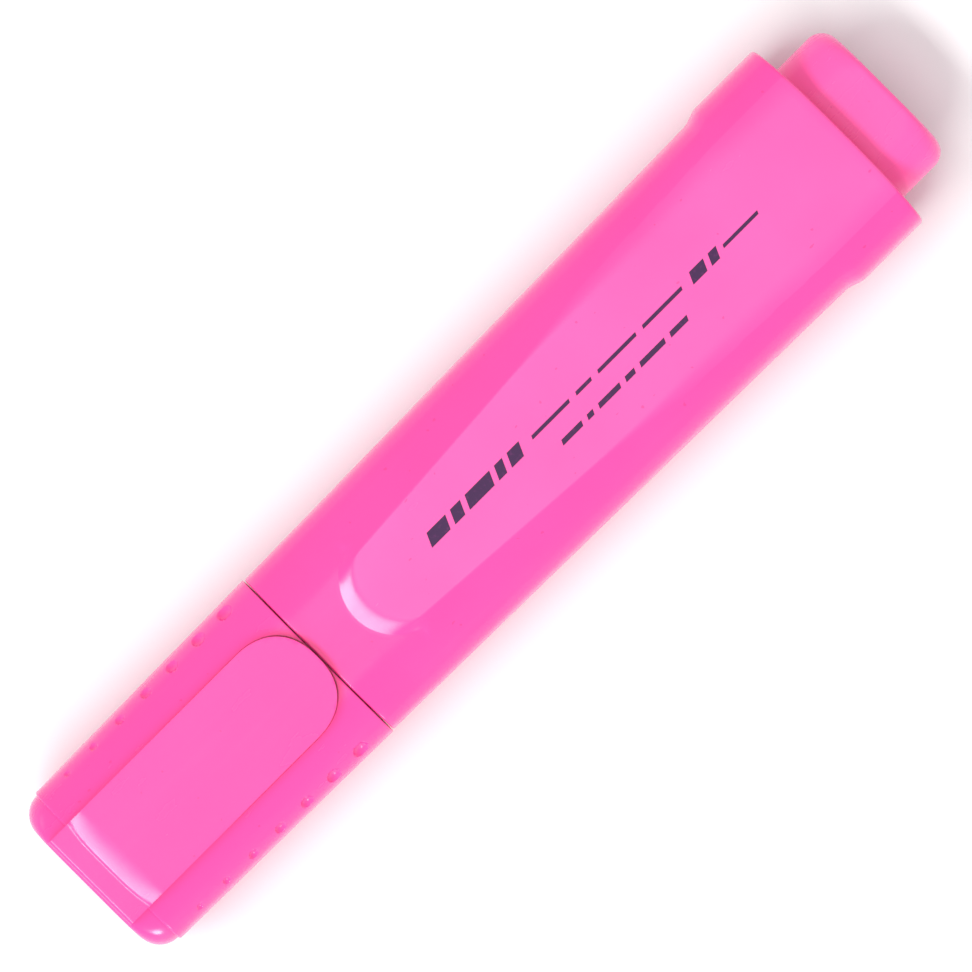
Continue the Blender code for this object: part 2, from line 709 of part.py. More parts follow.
def core_outline():
    """The fibre core's section: a flat bar with round ends and a groove on top for the vent tube."""
    groove = TUBE_DIAMETER / 2 + CLEARANCE
    points = stadium(CORE_WIDTH / 2, CORE_THICKNESS / 2)
    top = CORE_THICKNESS / 2
    right = len(points) // 2
    notch = [(groove, top), (groove, top - 2 * groove), (-groove, top - 2 * groove), (-groove, top)]
    return points[:right] + notch + points[right:]


def make_reservoir(parts, cutters):
    middle = CORE_X + CORE_LENGTH / 2
    core_finish = material("core_fibre", FIBRE_PINK, 0.9)
    core = flat_shape("reservoir_core", [core_outline()], CORE_LENGTH, parts, core_finish)
    stand_across(core, middle)
    room = flat_shape("core_room", [nib_section(CLEARANCE)], (NIB_IN_CORE + CLEARANCE) * 2, cutters)
    stand_across(room, CORE_X)
    boolean(core, as_cutter(room), "DIFFERENCE")
    wide, high = film_half()
    inside = stadium(wide - FILM_THICKNESS, high - FILM_THICKNESS)
    film_length = CORE_LENGTH + 2 * FILM_OVERHANG
    film_finish = material("film_clear", (0.9, 0.85, 0.88), 0.2)
    film = flat_shape("reservoir_film", [stadium(wide, high), inside], film_length, parts, film_finish)
    stand_across(film, middle)
    radius = TUBE_DIAMETER / 2
    turns = [2 * math.pi * i / 12 for i in range(12)]
    circles = [[(r * math.cos(t), r * math.sin(t)) for t in turns] for r in (radius, TUBE_BORE / 2)]
    tube_finish = material("tube_white", (0.9, 0.9, 0.9), 0.3)
    tube = flat_shape("vent_tube", circles, CORE_LENGTH, parts, tube_finish)
    stand_across(tube, middle, LIFT + CORE_THICKNESS / 2 - CLEARANCE - radius)


def plug_block_half():
    """The standing block's half width and height, which fit the cap's mouth."""
    return tuple(h - CLEARANCE for h in cavity_half(CAP_MOUTH_X - PLUG_STANDOUT))


def make_plug(parts):
    """A hollow plug: a skirt inside the barrel, a flange that closes it, and the block that stands out."""
    end_x = TOTAL_LENGTH / 2
    flange_x = RIM_X - PLUG_SET_IN
    skirt_x = flange_x - PLUG_FLANGE - PLUG_SKIRT
    wide, high = (h - CLEARANCE for h in seat_half())
    block_wide, block_high = plug_block_half()
    rings = []
    for i in range(END_STEPS + 1):
        turn = math.pi / 2 * i / END_STEPS
        x = end_x - PLUG_CORNER * (1 - math.cos(turn))
        corner = PLUG_CORNER * (1 - math.sin(turn))
        depth = max(0.0, 1 - (end_x - x) / PLUG_EDGE)
        edge = PLUG_EDGE * (1 - math.sqrt(1 - depth**2))
        rings.append(oval_ring(x, block_wide - corner, block_high - edge))
    rings.append(oval_ring(flange_x, block_wide, block_high))
    rings.append(oval_ring(flange_x, wide, high))
    rings.append(oval_ring(skirt_x, wide, high))
    rings.append(oval_ring(skirt_x, wide - PLUG_WALL, high - PLUG_WALL))
    rings.append(oval_ring(flange_x - PLUG_FLANGE, wide - PLUG_WALL, high - PLUG_WALL))
    rings.append(oval_ring(flange_x - PLUG_FLANGE, block_wide - PLUG_WALL, block_high - PLUG_WALL))
    rings.append(oval_ring(end_x - PLUG_END_WALL, block_wide - PLUG_CORNER, block_high - PLUG_WALL))
    return skin("tail_plug", rings, parts, material("plug_pink", PINK))


def main():
    clear_scene()
    parts = collection("highlighter")
    cutters = collection("cutters")
    make_cap(parts, cutters)
    make_clip(parts, cutters)
    make_inner_cap(parts)
    make_barrel(parts, cutters)
    make_holder(parts, cutters)
    make_nib(parts, cutters)
    make_reservoir(parts, cutters)
    make_plug(parts)


main()
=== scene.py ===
"""Looks of a flat pink highlighter: smooth moulded shells, a felt nib, printed strokes, light and camera.

Lengths are in metres, in the CAD frame: +X runs from the cap to the tail, +Z points up through the clip.
"""

import math

import bmesh
import bpy
import numpy as np
from mathutils import Matrix, Vector


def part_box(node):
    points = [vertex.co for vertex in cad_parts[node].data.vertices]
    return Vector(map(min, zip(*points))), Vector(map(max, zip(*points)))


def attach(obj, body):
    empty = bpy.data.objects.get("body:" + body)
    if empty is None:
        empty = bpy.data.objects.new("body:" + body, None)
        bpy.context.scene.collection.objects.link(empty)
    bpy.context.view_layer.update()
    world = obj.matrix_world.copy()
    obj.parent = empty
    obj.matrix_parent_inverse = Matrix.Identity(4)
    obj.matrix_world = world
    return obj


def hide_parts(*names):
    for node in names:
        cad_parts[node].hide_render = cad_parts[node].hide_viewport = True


MM = 0.001

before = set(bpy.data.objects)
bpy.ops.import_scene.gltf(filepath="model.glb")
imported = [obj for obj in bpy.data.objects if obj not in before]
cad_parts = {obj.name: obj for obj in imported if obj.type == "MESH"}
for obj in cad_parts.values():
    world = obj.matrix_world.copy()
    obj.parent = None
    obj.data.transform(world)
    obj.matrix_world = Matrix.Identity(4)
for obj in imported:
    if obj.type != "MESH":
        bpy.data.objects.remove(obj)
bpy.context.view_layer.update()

# ---- Places, from the CAD frame ----
CAP_LOW, CAP_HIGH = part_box("cap_shell")
CLIP_LOW, CLIP_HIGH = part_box("cap_clip")
BARREL_LOW, BARREL_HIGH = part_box("barrel")
PLUG_LOW, PLUG_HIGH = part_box("tail_plug")
NIB_LOW, NIB_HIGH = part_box("nib")
HOLDER_LOW, HOLDER_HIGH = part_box("nib_holder")

AXIS_Z = (BARREL_LOW.z + BARREL_HIGH.z) / 2
CAP_END_X, CAP_MOUTH_X = CAP_LOW.x, CAP_HIGH.x
CAP_HALF_WIDTH = CAP_HIGH.y
CAP_HALF_HEIGHT = AXIS_Z - CAP_LOW.z
NECK_FRONT_X, RIM_X = BARREL_LOW.x, BARREL_HIGH.x
RIM_HALF_WIDTH = BARREL_HIGH.y
RIM_HALF_HEIGHT = BARREL_HIGH.z - AXIS_Z

# ---- Section shared by the cap and the barrel ----
SHOULDER_ANGLE = math.radians(26)
SHOULDER_REACH = 0.80
SIDE_FULLNESS = 0.62
SOFT_BLEND = 0.9 * MM
CRISP_BLEND = 0.05 * MM

# ---- Barrel ----
SEAM_GAP = 0.15 * MM  # closer than the CAD's plain edges
CAP_PROUD = 0.11 * MM
FRONT_X = CAP_MOUTH_X + SEAM_GAP
FRONT_HALF_WIDTH = CAP_HALF_WIDTH - CAP_PROUD
FRONT_HALF_HEIGHT = CAP_HALF_HEIGHT - CAP_PROUD
BARREL_TAPER = 1.0 * MM
PANEL_RISE = 0.65 * MM
RAMP_X = FRONT_X + 5.5 * MM
RAMP_LENGTH = 2.06 * MM
RAMP_OUTER_RADIUS = 6.0 * MM
RAMP_INNER_RADIUS = 5.3 * MM
RAMP_INNER_SHARE = 0.97  # how far round its circle the ramp's inner edge goes
RAMP_POWER = 1.25
PANEL_FRONT_HALF = 4.4 * MM
PANEL_REAR_HALF = 8.6 * MM
PANEL_STRAIGHT_X = RAMP_X + 14 * MM
NOSE_DIP, NOSE_DIP_LENGTH = 0.10 * MM, 11 * MM  # the panel climbs by this much behind its ramp
TAIL_DIP, TAIL_DIP_LENGTH = 0.06 * MM, 18 * MM  # and again towards the rim
TAIL_CROWN = 0.16 * MM
LABEL_END_X, LABEL_FADE = 8 * MM, 34 * MM  # from here on the panel's edges grow soft
LABEL_CRISP, LABEL_SOFT, LABEL_NOSE = 0.12 * MM, 2.2 * MM, 0.5 * MM  # widths of the soft edge of the panel's painted sheen
TAIL_BLEND = 1.4 * MM
RIM_BOW = 0.4 * MM  # the rim's corners stand this far behind its middle
FLARE_RAMP = 2.5 * MM
FLARE_END_X = RIM_X - 9.0 * MM
FLARE_START_X = FLARE_END_X - FLARE_RAMP
FRONT_EDGE = 0.22 * MM
MOUTH_EDGE = 0.14 * MM
RIM_EDGE = 0.35 * MM
RIM_WALL = 1.4 * MM
SEAT_DEPTH, SEAT_EDGE = 9.5 * MM, 0.15 * MM
NECK_WALL, NECK_EDGE = 1.3 * MM, 0.3 * MM
BEAD_PLACE, BEAD_HALF, BEAD_HEIGHT = 0.45, 0.5 * MM, 0.12 * MM  # the place is a share of the neck

# ---- Cap ----
CAP_TAPER = 0.44 * MM
CAP_FLAT_HALF = 5.8 * MM
END_LENGTH = 2.9 * MM
END_STEP = 0.28 * MM
END_CORNER = 2.7 * MM
END_EDGE = 0.6 * MM
SIDE_WALL = 1.4 * MM
FLAT_WALL = 1.8 * MM
END_WALL = 1.5 * MM
CAVITY_CLEARANCE = 0.3 * MM
CAP_RINGS = 270  # enough to carry the dimples
STEP_LEAD, STEP_TURN, STEP_TAIL = 0.1 * MM, 0.2 * MM, 0.15 * MM  # the end step's soft corner
MOUTH_LIP = 0.25 * MM

# ---- Grip dimples ----
DIMPLE_COUNT = 7
DIMPLE_PITCH = 3.98 * MM
DIMPLE_FIRST = 6.85 * MM
DIMPLE_SMALLEST = 0.75 * MM
DIMPLE_LARGEST = 1.85 * MM
DIMPLE_DEPTH = 0.30
DIMPLE_INSET = 1.0 * MM

# ---- Clip ----
CLIP_HALF = CLIP_HIGH.y
CLIP_THICKNESS = 1.2 * MM
CLIP_TIP_LENGTH = 6.3 * MM
CLIP_TIP_POWER = 2.35
CLIP_RAMP_START = 2.8 * MM
CLIP_RAMP_END = 5.3 * MM
CLIP_RAMP_RISE = 0.55 * MM
CLIP_RAMP_POWER = 1.25
CLIP_RAMP_BOW = 0.5 * MM  # the ramp starts this much later at the clip's sides
CLIP_LIP_RISE, CLIP_LIP_SHARE = 0.16, 0.08  # of the ramp's rise, and of its length
CLIP_CROWN = 0.14 * MM
CLIP_ROOT_LENGTH = 3.4 * MM
CLIP_ROOT_SINK = 0.85 * MM  # moulded into the cap by this much
CLIP_ROOT_EDGE, CLIP_ROOT_SLOPE = 0.5 * MM, 0.7 * MM
CLIP_FINE_STEP, CLIP_FINE_CUTS, CLIP_COARSE_CUTS, CLIP_CROSS_CUTS = 0.14 * MM, 41, 40, 8
CLIP_GAP = 0.7 * MM
CLIP_EDGE = 0.3 * MM
GROOVE, TIP_GROOVE = 0.08 * MM, 0.17 * MM  # round the clip's sides and its tip

# ---- Plug ----
PLUG_STANDOUT, PLUG_SET_IN = 6.75 * MM, 0.4 * MM
PLUG_FLANGE, PLUG_WALL = 1.4 * MM, 1.2 * MM
PLUG_CORNER, PLUG_EDGE = 2.1 * MM, 0.6 * MM
PLUG_FILLET, PLUG_CHAMFER = 0.5 * MM, 0.15 * MM
PLUG_END_WALL = 1.8 * MM

# ---- Nib and holder ----
NIB_BEVEL = math.radians(62)
NIB_WEDGE = 2.2 * MM
NIB_EDGE_THICKNESS = 1.3 * MM
NIB_CORNER = 0.9 * MM
NIB_SOFTNESS = 0.22 * MM
NIB_ROUNDING = 0.8  # of the half thickness
NIB_STEEPNESS = 1.5  # the wedge is done after 1 / this of its length
HOLDER_FLANGE = 1.0 * MM
HOLDER_FOOT_INSET = 1.8 * MM
HOLDER_LAND = 4.6 * MM
HOLDER_LAND_RADIUS = 3.9 * MM
HOLDER_MOUTH = 1.2 * MM
HOLDER_MOUTH_RADIUS = 3.55 * MM
HOLDER_EDGE = 0.2 * MM
HOLDER_FLANGE_INSET = 0.25 * MM
HOLDER_WAIST_POWER = 0.85

# ---- Print on the label panel: rows of (middle y, height, strokes from x to x), in millimetres ----
PRINT_ROWS = [
    (0.3, 1.55, [(-8.4, -5.6), (-4.9, -3.4), (-2.7, 1.0), (1.7, 2.9), (3.6, 5.4)]),
    (0.3, 0.42, [(7.0, 12.6), (13.6, 15.9), (16.9, 22.6), (23.6, 29.5)]),
    (0.3, 1.3, [(30.9, 33.0), (33.7, 34.9)]),
    (0.3, 0.4, [(35.7, 40.9)]),
    (-2.36, 0.6, [(8.9, 11.9), (12.7, 13.6), (14.4, 17.6), (18.4, 19.8), (20.6, 24.3), (25.1, 27.7)]),
]
STROKE_LEAN = 0.45
PRINT_PROUD = 0.012 * MM
PRINT_SUNK = 0.06 * MM

PINK = (0.97, 0.060, 0.325)
PANEL_SHEEN_PINK = (0.98, 0.095, 0.38)  # painted sheen: a lighter pink laid on the label panels and on the tail plug

# ---- Light: azimuth from -X towards -Y, angle off vertical, distance, width, depth, radiance ----
WORLD_STRENGTH = 0.78
FLOOR_HALF, FLOOR_WHITE = 3.0, 0.82
LIGHTS = {
    "top": (0, 9, 1.6, 1.04, 0.58, 1.2),
    "front": (0, 33, 1.6, 1.30, 0.34, 14.0),
    "near_side": (71, 79, 1.2, 0.16, 0.24, 25.0),
    "far_side": (-66, 76, 1.2, 0.20, 0.20, 2.5),
}

# ---- Camera: straight down, turned so that the pen runs from corner to corner ----
CAMERA_LENS = 600
VIEW_WIDTH, VIEW_CENTRE, VIEW_TURN = 103.6 * MM, (-0.06 * MM, 0.13 * MM), math.radians(-45)

# ---- Points in a quarter of a section, over the flat and round the side ----
QUARTER_FLAT, QUARTER_SIDE = 34, 44
SHARP_DEGREES = 35


# ---------------------------------------------------------------- maths
def smooth(t):
    t = np.clip(t, 0, 1)
    return t * t * (3 - 2 * t)


def soft_min(a, b, blend):
    near = np.maximum(blend - np.abs(a - b), 0) / blend
    return np.minimum(a, b) - near * near * blend / 4


def section(half_width, half_height, flat_half, top, blend):
    """One quarter of a body section, from the top's middle to the side: arrays y and z above the axis."""
    across = 1 - (1 - np.linspace(0, 1, QUARTER_FLAT, endpoint=False)) ** 1.3
    t = np.linspace(0, 1, QUARTER_SIDE + 1) ** 1.15
    slope = math.tan(SHOULDER_ANGLE)
    reach = (half_width - flat_half) * SHOULDER_REACH
    s = 1 - t
    b0, b1, b2, b3 = s**3, 3 * s * s * t, 3 * s * t * t, t**3
    n1 = len(across)

    def part(value, low, high):
        return value[low:high] if np.ndim(value) else value

    f1, h1 = part(flat_half, 0, n1), part(half_height, 0, n1)
    y1 = f1 * across
    z1 = h1 + slope * (f1 - y1)
    f2, h2, w2, r2 = (part(v, n1, None) for v in (flat_half, half_height, half_width, reach))
    y2 = f2 * b0 + (f2 + r2) * b1 + w2 * (b2 + b3)
    z2 = h2 * b0 + (h2 - slope * r2) * b1 + h2 * SIDE_FULLNESS * b2
    y, z = np.concatenate([y1 + 0 * across, y2]), np.concatenate([z1 + 0 * across, z2])
    return y, soft_min(z, top, blend)


def full_ring(x, y, z):
    """A closed ring from one quarter, mirrored in y and in z about the axis height."""
    x = x + 0 * y
    right = np.stack([x, y, z], 1)
    low = (right * (1, 1, -1))[-2::-1]
    half = np.concatenate([right, low])
    left = (half * (1, -1, 1))[-2:0:-1]
    ring = np.concatenate([half, left])
    ring[:, 2] += AXIS_Z
    return ring


def oval_ring(x, half_width, half_height):
    count = QUARTER_FLAT + QUARTER_SIDE
    flat = max(half_width - half_height, 0) * 0.9
    radius = half_width - flat
    flat_steps = QUARTER_FLAT if flat > 0 else 0
    straight = np.linspace(0, flat, flat_steps, endpoint=False)
    turn = np.linspace(0, math.pi / 2, count + 1 - flat_steps)
    y = np.concatenate([straight, flat + radius * np.sin(turn)])
    z = np.concatenate([np.full(flat_steps, half_height), half_height * np.cos(turn)])
    return full_ring(x, y, z)


def skin(name, rings, loop=False):
    """A closed shell through rings of equal length, as one smooth mesh."""
    count = len(rings[0])
    points = np.concatenate(rings)
    index = np.arange(count)
    after = (index + 1) % count
    starts = [i * count for i in range(len(rings))]
    pairs = list(zip(starts, starts[1:]))
    if loop:
        pairs.append((starts[-1], starts[0]))
    faces = [np.stack([a + index, a + after, b + after, b + index], 1) for a, b in pairs]
    faces = np.concatenate(faces).tolist()
    if not loop:
        faces.append((starts[0] + index).tolist())
        faces.append((starts[-1] + index).tolist())
    mesh = bpy.data.meshes.new(name)
    mesh.from_pydata(points.tolist(), [], faces)
    return finish_mesh(name, mesh)


def place(name, data):
    """Links a new object with this data to the scene."""
    obj = bpy.data.objects.new(name, data)
    bpy.context.scene.collection.objects.link(obj)
    return obj


def finish_mesh(name, mesh):
    build = bmesh.new()
    build.from_mesh(mesh)
    bmesh.ops.remove_doubles(build, verts=build.verts, dist=0.002 * MM)
    bmesh.ops.recalc_face_normals(build, faces=build.faces)
    build.to_mesh(mesh)
    build.free()
    mesh.shade_smooth()
    mesh.set_sharp_from_angle(angle=math.radians(SHARP_DEGREES))
    return place(name, mesh)


def apply_modifiers(obj):
    """Replaces obj's mesh with its evaluated one."""
    graph = bpy.context.evaluated_depsgraph_get()
    mesh = bpy.data.meshes.new_from_object(obj.evaluated_get(graph))
    obj.modifiers.clear()
    obj.data = mesh
    return obj


# ---------------------------------------------------------------- barrel
def barrel_half_width(x):
    share = np.minimum(1, (x - FRONT_X) / (FLARE_START_X - FRONT_X))
    plain = FRONT_HALF_WIDTH + BARREL_TAPER * share
    step = RIM_HALF_WIDTH - FRONT_HALF_WIDTH - BARREL_TAPER
    return plain + step * smooth((x - FLARE_START_X) / FLARE_RAMP)


def panel_half_height(x):
    nose = 1 - np.clip((x - RAMP_X) / NOSE_DIP_LENGTH, 0, 1)
    tail = 1 - smooth((x - RIM_X + TAIL_DIP_LENGTH) / TAIL_DIP_LENGTH)
    return RIM_HALF_HEIGHT - NOSE_DIP * nose**2 - TAIL_DIP * tail


def panel_crown(x, y):
    """How far the panel's top falls away from its middle, which it does only near the tail."""
    late = smooth((x - RIM_X + TAIL_DIP_LENGTH) / TAIL_DIP_LENGTH)
    return TAIL_CROWN * late * np.clip(np.abs(y) / PANEL_REAR_HALF, 0, 1) ** 2


def panel_half_width(x):
    share = np.clip((x - RAMP_X) / (FLARE_START_X - RAMP_X), 0, 1)
    return PANEL_FRONT_HALF + (PANEL_REAR_HALF - PANEL_FRONT_HALF) * share


def arc(y, radius, limit):
    across = np.minimum(np.abs(y), limit)
    return radius - np.sqrt(radius**2 - across**2)


def outer_arc(y):
    return RAMP_X + arc(y, RAMP_OUTER_RADIUS, VALLEY_FLAT_HALF)


def inner_arc(y):
    return RAMP_X + RAMP_LENGTH + arc(y, RAMP_INNER_RADIUS, RAMP_INNER_RADIUS * RAMP_INNER_SHARE)


VALLEY_FLAT_HALF = PANEL_FRONT_HALF + PANEL_RISE / math.tan(SHOULDER_ANGLE)


def barrel_section(x, inset=0.0):
    """The barrel's outer quarter where each of its points has its own x."""
    half_width, half_height = barrel_half_width(x), panel_half_height(x)
    flat_half = panel_half_width(x)
    y, _ = section(half_width, half_height, flat_half, 1, CRISP_BLEND)
    start, end = outer_arc(y), inner_arc(y)
    t = np.clip((x - start) / (end - start), 0, 1)
    climbed = 1 - (1 - t) ** RAMP_POWER
    late = smooth((x - LABEL_END_X) / LABEL_FADE)
    crisp, tail = climbed * (1 - late), late
    blend = SOFT_BLEND + (CRISP_BLEND - SOFT_BLEND) * crisp + (TAIL_BLEND - SOFT_BLEND) * tail
    top = FRONT_HALF_HEIGHT + (half_height - FRONT_HALF_HEIGHT) * climbed
    y, z = section(half_width, half_height, flat_half, top - panel_crown(x, y), blend)
    scale_y = 1 - inset / half_width
    return y * scale_y, z * (1 - inset / FRONT_HALF_HEIGHT)


def barrel_ring(x_of, nominal, inset=0.0):
    """A ring whose x is x_of(y)."""
    count = QUARTER_FLAT + QUARTER_SIDE + 1
    y, _ = barrel_section(np.full(count, nominal))
    x = x_of(y) + np.zeros(count)
    y, z = barrel_section(x, inset)
    return full_ring(x, y, z)


def quarter_turn(steps, first=0):
    """Pairs of 1 - cos and 1 - sin over a quarter turn: how far round an edge, and how far in from it."""
    turns = [math.pi / 2 * i / steps for i in range(first, steps + 1)]
    return [(1 - math.cos(turn), 1 - math.sin(turn)) for turn in turns]


def edge_drop(along, radius):
    """How far a round edge lies below its face, at along from the end."""
    return radius * (1 - math.sqrt(1 - max(0.0, 1 - along / radius) ** 2))


def between(start, end, count):
    return [start + (end - start) * (i + 1) / count for i in range(count)]


def cavity_half(x):
    inward = CAP_TAPER * (CAP_MOUTH_X - x) / (CAP_MOUTH_X - CAP_END_X)
    return CAP_HALF_WIDTH - SIDE_WALL - inward, CAP_HALF_HEIGHT - FLAT_WALL - inward


def neck_half(x):
    return tuple(h - CAVITY_CLEARANCE for h in cavity_half(x))


def neck_rings():
    """The neck's outside, with a low round bead that the cap snaps over."""
    rings = []
    for round_, inward in quarter_turn(5):
        x = NECK_FRONT_X + NECK_EDGE * round_
        rings.append(oval_ring(x, *(h - NECK_EDGE * inward for h in neck_half(x))))
    bead_x = NECK_FRONT_X + (FRONT_X - NECK_FRONT_X) * BEAD_PLACE
    for x in between(NECK_FRONT_X + NECK_EDGE, FRONT_X, 59):
        off = (x - bead_x) / BEAD_HALF
        proud = BEAD_HEIGHT * math.sqrt(max(0.0, 1 - off * off))
        rings.append(oval_ring(x, *(h + proud for h in neck_half(x))))
    return rings


def rim_bow(y):
    """How far the rim stands behind its middle at y."""
    return RIM_BOW * np.clip(np.abs(y) / RIM_HALF_WIDTH, 0, 1) ** 2.5


def make_barrel():
    rings = neck_rings()
    for round_, inward in quarter_turn(6):
        x = FRONT_X + FRONT_EDGE * round_
        rings.append(barrel_ring(lambda y, x=x: x, x, FRONT_EDGE * inward))
    first = FRONT_X + FRONT_EDGE
    spans = [
        (lambda y: first, outer_arc, first, 14),
        (outer_arc, inner_arc, RAMP_X, 16),
        (inner_arc, lambda y: PANEL_STRAIGHT_X, RAMP_X, 24),
    ]
    for start, end, nominal, count in spans:
        for share in between(0, 1, count):
            rings.append(barrel_ring(lambda y: start(y) + (end(y) - start(y)) * share, nominal))
    stations = between(PANEL_STRAIGHT_X, FLARE_START_X, 50)
    stations += between(FLARE_START_X, FLARE_END_X, 20)
    for x in stations:
        rings.append(barrel_ring(lambda y, x=x: x, x))
    for share in between(0, 1, 10):
        x = FLARE_END_X + (RIM_X - RIM_EDGE - FLARE_END_X) * share
        rings.append(barrel_ring(lambda y, x=x, s=share: x - rim_bow(y) * s, x))
    for inward, back in quarter_turn(6, 1):
        x = RIM_X - RIM_EDGE * back
        rings.append(barrel_ring(lambda y, x=x: x - rim_bow(y), x, RIM_EDGE * inward))
    seat = (RIM_HALF_WIDTH - RIM_WALL, RIM_HALF_HEIGHT - RIM_WALL)
    seat_x = RIM_X - SEAT_DEPTH
    for x, grown in ((RIM_X, SEAT_EDGE), (RIM_X - SEAT_EDGE, 0)):
        ring = oval_ring(x, seat[0] + grown, seat[1] + grown)
        ring[:, 0] -= rim_bow(ring[:, 1])
        rings.append(ring)
    rings.append(oval_ring(seat_x, *seat))
    front = (FRONT_HALF_WIDTH - RIM_WALL, FRONT_HALF_HEIGHT - RIM_WALL)
    narrow = [h - NECK_WALL for h in neck_half(NECK_FRONT_X)]
    rings.append(oval_ring(seat_x - RIM_WALL, seat[0] - 0.5 * MM, seat[1] - 0.1 * MM))
    rings.append(oval_ring(FRONT_X + RIM_WALL, *front))
    rings.append(oval_ring(FRONT_X, *narrow))
    rings.append(oval_ring(NECK_FRONT_X, *narrow))
    return skin("barrel_body", rings, loop=True)


# ---------------------------------------------------------------- cap
def cap_quarter(x, inset, corner=0.0, edge=0.0):
    drawn = CAP_TAPER * (CAP_MOUTH_X - x) / (CAP_MOUTH_X - CAP_END_X) + inset
    half_height = CAP_HALF_HEIGHT - drawn - edge
    return section(
        CAP_HALF_WIDTH - drawn - corner,
        half_height,
        CAP_FLAT_HALF - corner * 0.3,
        half_height,
        SOFT_BLEND,
    )


def dimple_centre(x):
    """Where a dimple's middle sits on the cap's shoulder at x, as (y, z) above the axis."""
    y, z = cap_quarter(x, 0)
    drawn = CAP_TAPER * (CAP_MOUTH_X - x) / (CAP_MOUTH_X - CAP_END_X)
    target = CAP_HALF_WIDTH - drawn - DIMPLE_INSET
    i = int(np.argmax(y >= target))
    share = (target - y[i - 1]) / (y[i] - y[i - 1])
    return target, z[i - 1] + (z[i] - z[i - 1]) * share


def press_dimples(rings):
    """Pushes shallow round hollows into the shoulders of the cap's rings."""
    points = np.array(rings)
    along = np.gradient(points, axis=0)
    round_ = (np.roll(points, -1, 1) - np.roll(points, 1, 1)) / 2
    normal = np.cross(round_, along)
    normal /= np.linalg.norm(normal, axis=2, keepdims=True) + 1e-12
    outward = points - np.array((0, 0, AXIS_Z))
    outward[..., 0] = 0
    normal *= np.sign((normal * outward).sum(2, keepdims=True))
    depth = np.zeros(points.shape[:2])
    for i in range(DIMPLE_COUNT):
        x = CAP_END_X + DIMPLE_FIRST + DIMPLE_PITCH * i
        size = DIMPLE_SMALLEST + (DIMPLE_LARGEST - DIMPLE_SMALLEST) * i / (DIMPLE_COUNT - 1)
        y, z = dimple_centre(x)
        for side in (1, -1):
            for face in (1, -1):
                centre = np.array((x, y * side, z * face + AXIS_Z))
                away = np.linalg.norm(points - centre, axis=2) / (size / 2)
                bowl = np.sqrt(np.clip(1 - away**2, 0, 1)) * size * DIMPLE_DEPTH
                depth = np.maximum(depth, bowl)
    return list(points - normal * depth[..., None])


def make_cap():
    step_x = CAP_END_X + END_LENGTH
    end = []
    for round_, inward in quarter_turn(10):
        x = CAP_END_X + END_CORNER * round_
        edge = edge_drop(x - CAP_END_X, END_EDGE)
        end.append(full_ring(x, *cap_quarter(x, END_STEP, END_CORNER * inward, edge)))
    for round_, inward in quarter_turn(5):
        x = step_x - STEP_LEAD + STEP_TURN * round_
        end.append(full_ring(x, *cap_quarter(x, END_STEP * inward)))
    stations = between(step_x + STEP_TAIL, CAP_MOUTH_X - MOUTH_EDGE, CAP_RINGS)
    body = press_dimples([full_ring(x, *cap_quarter(x, 0)) for x in stations])
    mouth = []
    for inward, back in quarter_turn(5, 1):
        x = CAP_MOUTH_X - MOUTH_EDGE * back
        mouth.append(full_ring(x, *cap_quarter(x, MOUTH_EDGE * inward)))
    inner = [oval_ring(CAP_MOUTH_X, *(h + MOUTH_LIP for h in cavity_half(CAP_MOUTH_X)))]
    inner.append(oval_ring(CAP_MOUTH_X - MOUTH_LIP, *cavity_half(CAP_MOUTH_X)))
    inner.append(oval_ring(CAP_END_X + END_WALL, *cavity_half(CAP_END_X + END_WALL)))
    cap = skin("cap_body", end + body + mouth + inner)
    floor_z = CLIP_HIGH.z - CLIP_THICKNESS - CLIP_GAP
    recess = clip_solid("clip_recess", GROOVE, floor_z, CLIP_HIGH.z + MM, MM)
    cut = cap.modifiers.new("recess", "BOOLEAN")
    cut.operation = "DIFFERENCE"
    cut.object = recess
    apply_modifiers(cap)
    bpy.data.objects.remove(recess)
    cap.data.shade_smooth()
    cap.data.set_sharp_from_angle(angle=math.radians(SHARP_DEGREES))
    for face in cap.data.polygons:
        if abs(face.center.z - floor_z) < 0.001 * MM:
            face.use_smooth = False
    return cap


# ---------------------------------------------------------------- clip
def clip_outline(margin, behind):
    half = CLIP_HALF + margin
    base = CLIP_HIGH.x - CLIP_TIP_LENGTH
    reach = CLIP_TIP_LENGTH + margin * TIP_GROOVE / GROOVE
    points = [(CLIP_LOW.x - behind, half), (CLIP_LOW.x - behind, -half)]
    steps = 56
    for i in range(steps + 1):
        turn = -math.pi / 2 + math.pi * i / steps
        across = abs(math.sin(turn)) ** (2 / CLIP_TIP_POWER) * math.copysign(1, math.sin(turn))
        along = abs(math.cos(turn)) ** (2 / CLIP_TIP_POWER)
        points.append((base + reach * along, half * across))
    return points


def clip_solid(name, margin, low, high, behind=0.0):
    build = bmesh.new()
    face = build.faces.new([build.verts.new((x, y, low)) for x, y in clip_outline(margin, behind)])
    pushed = bmesh.ops.extrude_face_region(build, geom=[face])["geom"]
    tops = [v for v in pushed if isinstance(v, bmesh.types.BMVert)]
    bmesh.ops.translate(build, verts=tops, vec=(0, 0, high - low))
    mesh = bpy.data.meshes.new(name)
    bmesh.ops.recalc_face_normals(build, faces=build.faces)
    build.to_mesh(mesh)
    build.free()
    return place(name, mesh)


